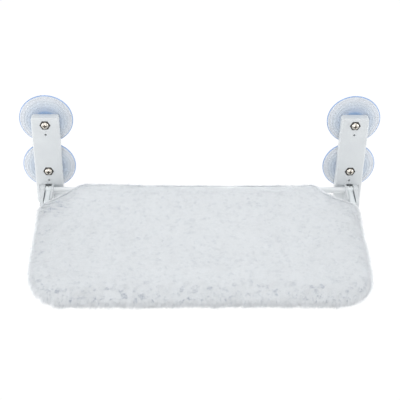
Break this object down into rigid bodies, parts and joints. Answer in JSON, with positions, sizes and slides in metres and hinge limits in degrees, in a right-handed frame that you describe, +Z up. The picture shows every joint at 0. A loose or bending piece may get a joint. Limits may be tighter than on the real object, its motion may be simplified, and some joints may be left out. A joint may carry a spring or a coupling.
{
  "type": "window mounted cat perch",
  "caption": "Cat perch that hangs on a window: tube frame in a plush cover, hinged on moulded brackets held by suction cups, so that it folds up to the glass.",
  "frame": {"origin": "on the window glass, in the middle of the suction cups", "axes": "+X to the right along the window, +Y through the glass, +Z up"},
  "size_m": [0.634, 0.3475, 0.2098],
  "materials": {
    "white_moulding": "smooth satin ABS",
    "clear_vinyl": "clear soft vinyl, faintly blue",
    "brass": "turned",
    "black_nylon": "moulded black nylon",
    "bright_steel": "bright plated",
    "painted_tube": "white powder coat",
    "foam": "soft foam",
    "plush": "short white plush",
    "lining": "short white plush"
  },
  "bodies": {
    "window_side": {"left_bracket": "white_moulding", "right_bracket": "white_moulding", "left_upper_cup": "clear_vinyl", "left_lower_cup": "clear_vinyl", "right_upper_cup": "clear_vinyl", "right_lower_cup": "clear_vinyl", "cup_inserts": "brass", "hex_seats": "black_nylon", "cup_screws": "bright_steel"},
    "perch": {"left_hinge_arm": "white_moulding", "right_hinge_arm": "white_moulding", "rear_tube": "painted_tube", "tube_end_plugs": "white_moulding", "hinge_pins": "bright_steel", "left_frame_tube": "painted_tube", "right_frame_tube": "painted_tube", "socket_screws": "bright_steel", "frame_spigot": "bright_steel", "spigot_screws": "bright_steel", "foam_pad": "foam", "cover_top": "plush", "cover_underside": "lining"}
  },
  "joints": [
    {"name": "perch_fold", "type": "hinge", "parent": "window_side", "child": "perch", "pos_m": [0, -0.0305, -0.0825], "axis": [-1, 0, 0], "range_deg": [0, 80]}
  ]
}
